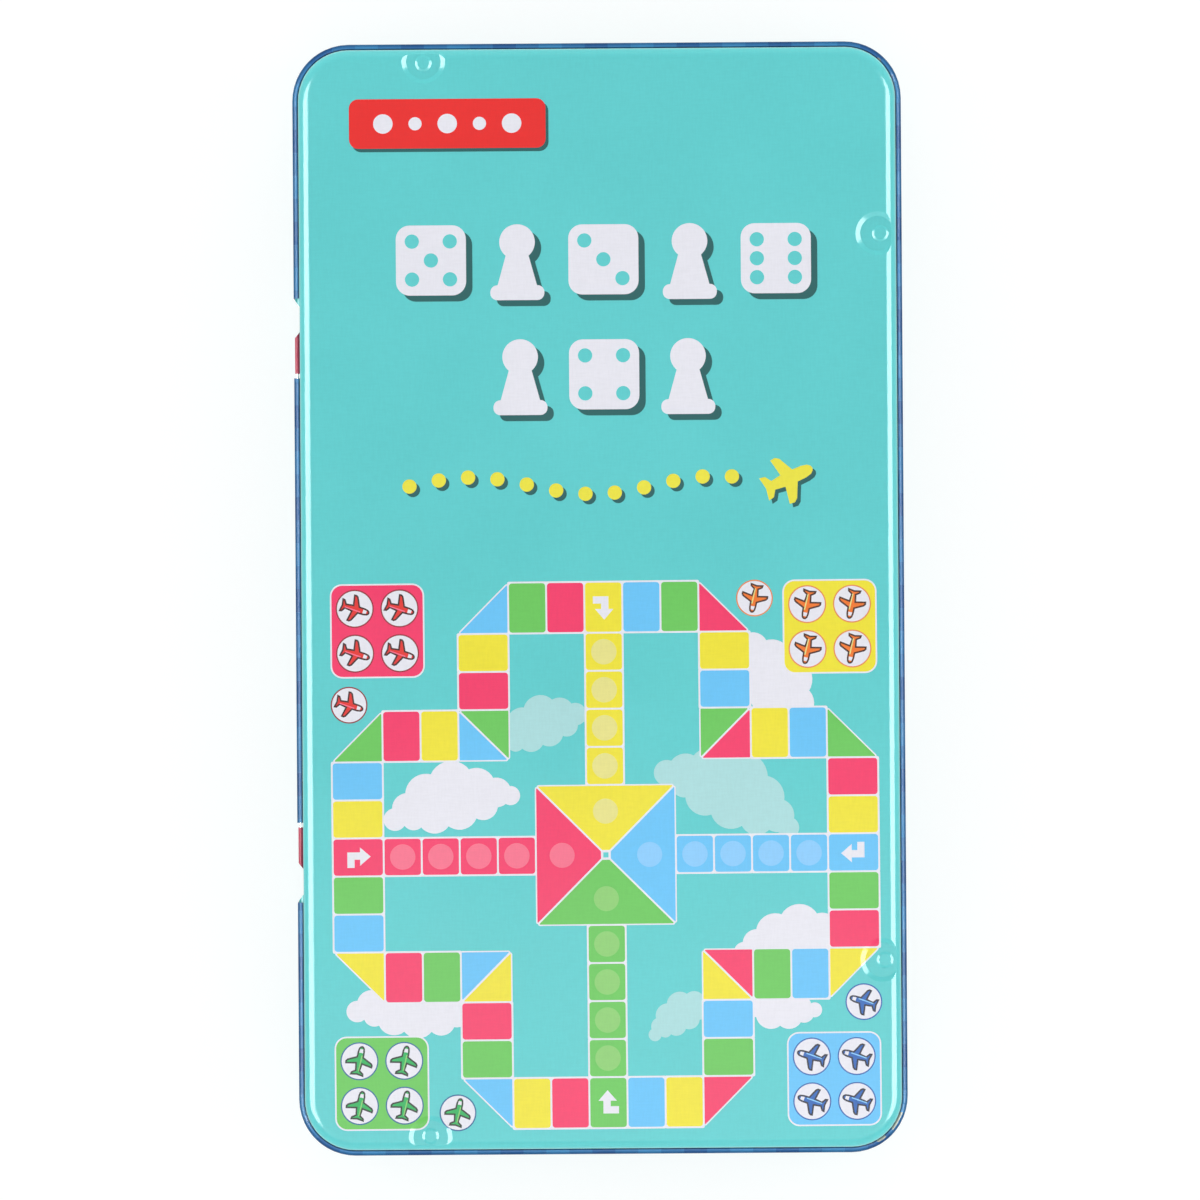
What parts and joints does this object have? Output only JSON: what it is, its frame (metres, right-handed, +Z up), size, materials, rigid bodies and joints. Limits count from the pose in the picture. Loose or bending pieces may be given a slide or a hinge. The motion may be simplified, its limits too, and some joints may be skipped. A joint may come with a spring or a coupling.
{
  "type": "magnetic game tin",
  "caption": "Flat rounded metal game tin hinged along a long side, opening flat like a book into a magnetic board, with round magnetic pawns and a die inside.",
  "frame": {"origin": "middle of the closed tin's bottom face", "axes": "+X across the width, away from the hinge; +Y along the length; +Z up, out of the lid"},
  "size_m": [0.106, 0.1934, 0.018],
  "materials": {
    "lid_tinplate": "turquoise printed tinplate under clear lacquer, with a blue checked inside that shows on the bead",
    "base_tinplate": "turquoise printed tinplate under clear lacquer, with a red checked inside that shows on the knuckles",
    "board_print": "printed steel sheet under satin lacquer",
    "pin_steel": "drawn wire",
    "red_plastic": "moulded, glossy",
    "green_plastic": "moulded, glossy",
    "yellow_plastic": "moulded, glossy",
    "blue_plastic": "moulded, glossy",
    "magnet": "nickel-plated disc magnet",
    "die_plastic": "moulded white with painted pips"
  },
  "bodies": {
    "base": {"base_shell": "base_tinplate", "base_board": "board_print"},
    "lid": {"lid_shell": "lid_tinplate", "lid_board": "board_print", "upper_hinge_pin": "pin_steel", "lower_hinge_pin": "pin_steel"},
    "die": {"die": "die_plastic"},
    "red_pawn_1": {"red_pawn_1": "red_plastic", "red_magnet_1": "magnet"},
    "red_pawn_2": {"red_pawn_2": "red_plastic", "red_magnet_2": "magnet"},
    "red_pawn_3": {"red_pawn_3": "red_plastic", "red_magnet_3": "magnet"},
    "red_pawn_4": {"red_pawn_4": "red_plastic", "red_magnet_4": "magnet"},
    "green_pawn_1": {"green_pawn_1": "green_plastic", "green_magnet_1": "magnet"},
    "green_pawn_2": {"green_pawn_2": "green_plastic", "green_magnet_2": "magnet"},
    "green_pawn_3": {"green_pawn_3": "green_plastic", "green_magnet_3": "magnet"},
    "green_pawn_4": {"green_pawn_4": "green_plastic", "green_magnet_4": "magnet"},
    "yellow_pawn_1": {"yellow_pawn_1": "yellow_plastic", "yellow_magnet_1": "magnet"},
    "yellow_pawn_2": {"yellow_pawn_2": "yellow_plastic", "yellow_magnet_2": "magnet"},
    "yellow_pawn_3": {"yellow_pawn_3": "yellow_plastic", "yellow_magnet_3": "magnet"},
    "yellow_pawn_4": {"yellow_pawn_4": "yellow_plastic", "yellow_magnet_4": "magnet"},
    "blue_pawn_1": {"blue_pawn_1": "blue_plastic", "blue_magnet_1": "magnet"},
    "blue_pawn_2": {"blue_pawn_2": "blue_plastic", "blue_magnet_2": "magnet"},
    "blue_pawn_3": {"blue_pawn_3": "blue_plastic", "blue_magnet_3": "magnet"},
    "blue_pawn_4": {"blue_pawn_4": "blue_plastic", "blue_magnet_4": "magnet"}
  },
  "joints": [
    {"name": "lid_hinge", "type": "hinge", "parent": "base", "child": "lid", "pos_m": [-0.05235, 0, 0.009], "axis": [0, -1, 0], "range_deg": [0, 180]},
    {"name": "die_lift", "type": "slide", "parent": "base", "child": "die", "axis": [0, 0, 1], "range_m": [0, 0.004]},
    {"name": "pawn_red_1_lift", "type": "slide", "parent": "lid", "child": "red_pawn_1", "axis": [0, 0, -1], "range_m": [0, 0.0028]},
    {"name": "pawn_red_2_lift", "type": "slide", "parent": "lid", "child": "red_pawn_2", "axis": [0, 0, -1], "range_m": [0, 0.0028]},
    {"name": "pawn_red_3_lift", "type": "slide", "parent": "lid", "child": "red_pawn_3", "axis": [0, 0, -1], "range_m": [0, 0.0028]},
    {"name": "pawn_red_4_lift", "type": "slide", "parent": "lid", "child": "red_pawn_4", "axis": [0, 0, -1], "range_m": [0, 0.0028]},
    {"name": "pawn_green_1_lift", "type": "slide", "parent": "lid", "child": "green_pawn_1", "axis": [0, 0, -1], "range_m": [0, 0.0028]},
    {"name": "pawn_green_2_lift", "type": "slide", "parent": "lid", "child": "green_pawn_2", "axis": [0, 0, -1], "range_m": [0, 0.0028]},
    {"name": "pawn_green_3_lift", "type": "slide", "parent": "lid", "child": "green_pawn_3", "axis": [0, 0, -1], "range_m": [0, 0.0028]},
    {"name": "pawn_green_4_lift", "type": "slide", "parent": "lid", "child": "green_pawn_4", "axis": [0, 0, -1], "range_m": [0, 0.0028]},
    {"name": "pawn_yellow_1_lift", "type": "slide", "parent": "base", "child": "yellow_pawn_1", "axis": [0, 0, 1], "range_m": [0, 0.0028]},
    {"name": "pawn_yellow_2_lift", "type": "slide", "parent": "base", "child": "yellow_pawn_2", "axis": [0, 0, 1], "range_m": [0, 0.0028]},
    {"name": "pawn_yellow_3_lift", "type": "slide", "parent": "base", "child": "yellow_pawn_3", "axis": [0, 0, 1], "range_m": [0, 0.0028]},
    {"name": "pawn_yellow_4_lift", "type": "slide", "parent": "base", "child": "yellow_pawn_4", "axis": [0, 0, 1], "range_m": [0, 0.0028]},
    {"name": "pawn_blue_1_lift", "type": "slide", "parent": "base", "child": "blue_pawn_1", "axis": [0, 0, 1], "range_m": [0, 0.0028]},
    {"name": "pawn_blue_2_lift", "type": "slide", "parent": "base", "child": "blue_pawn_2", "axis": [0, 0, 1], "range_m": [0, 0.0028]},
    {"name": "pawn_blue_3_lift", "type": "slide", "parent": "base", "child": "blue_pawn_3", "axis": [0, 0, 1], "range_m": [0, 0.0028]},
    {"name": "pawn_blue_4_lift", "type": "slide", "parent": "base", "child": "blue_pawn_4", "axis": [0, 0, 1], "range_m": [0, 0.0028]}
  ]
}
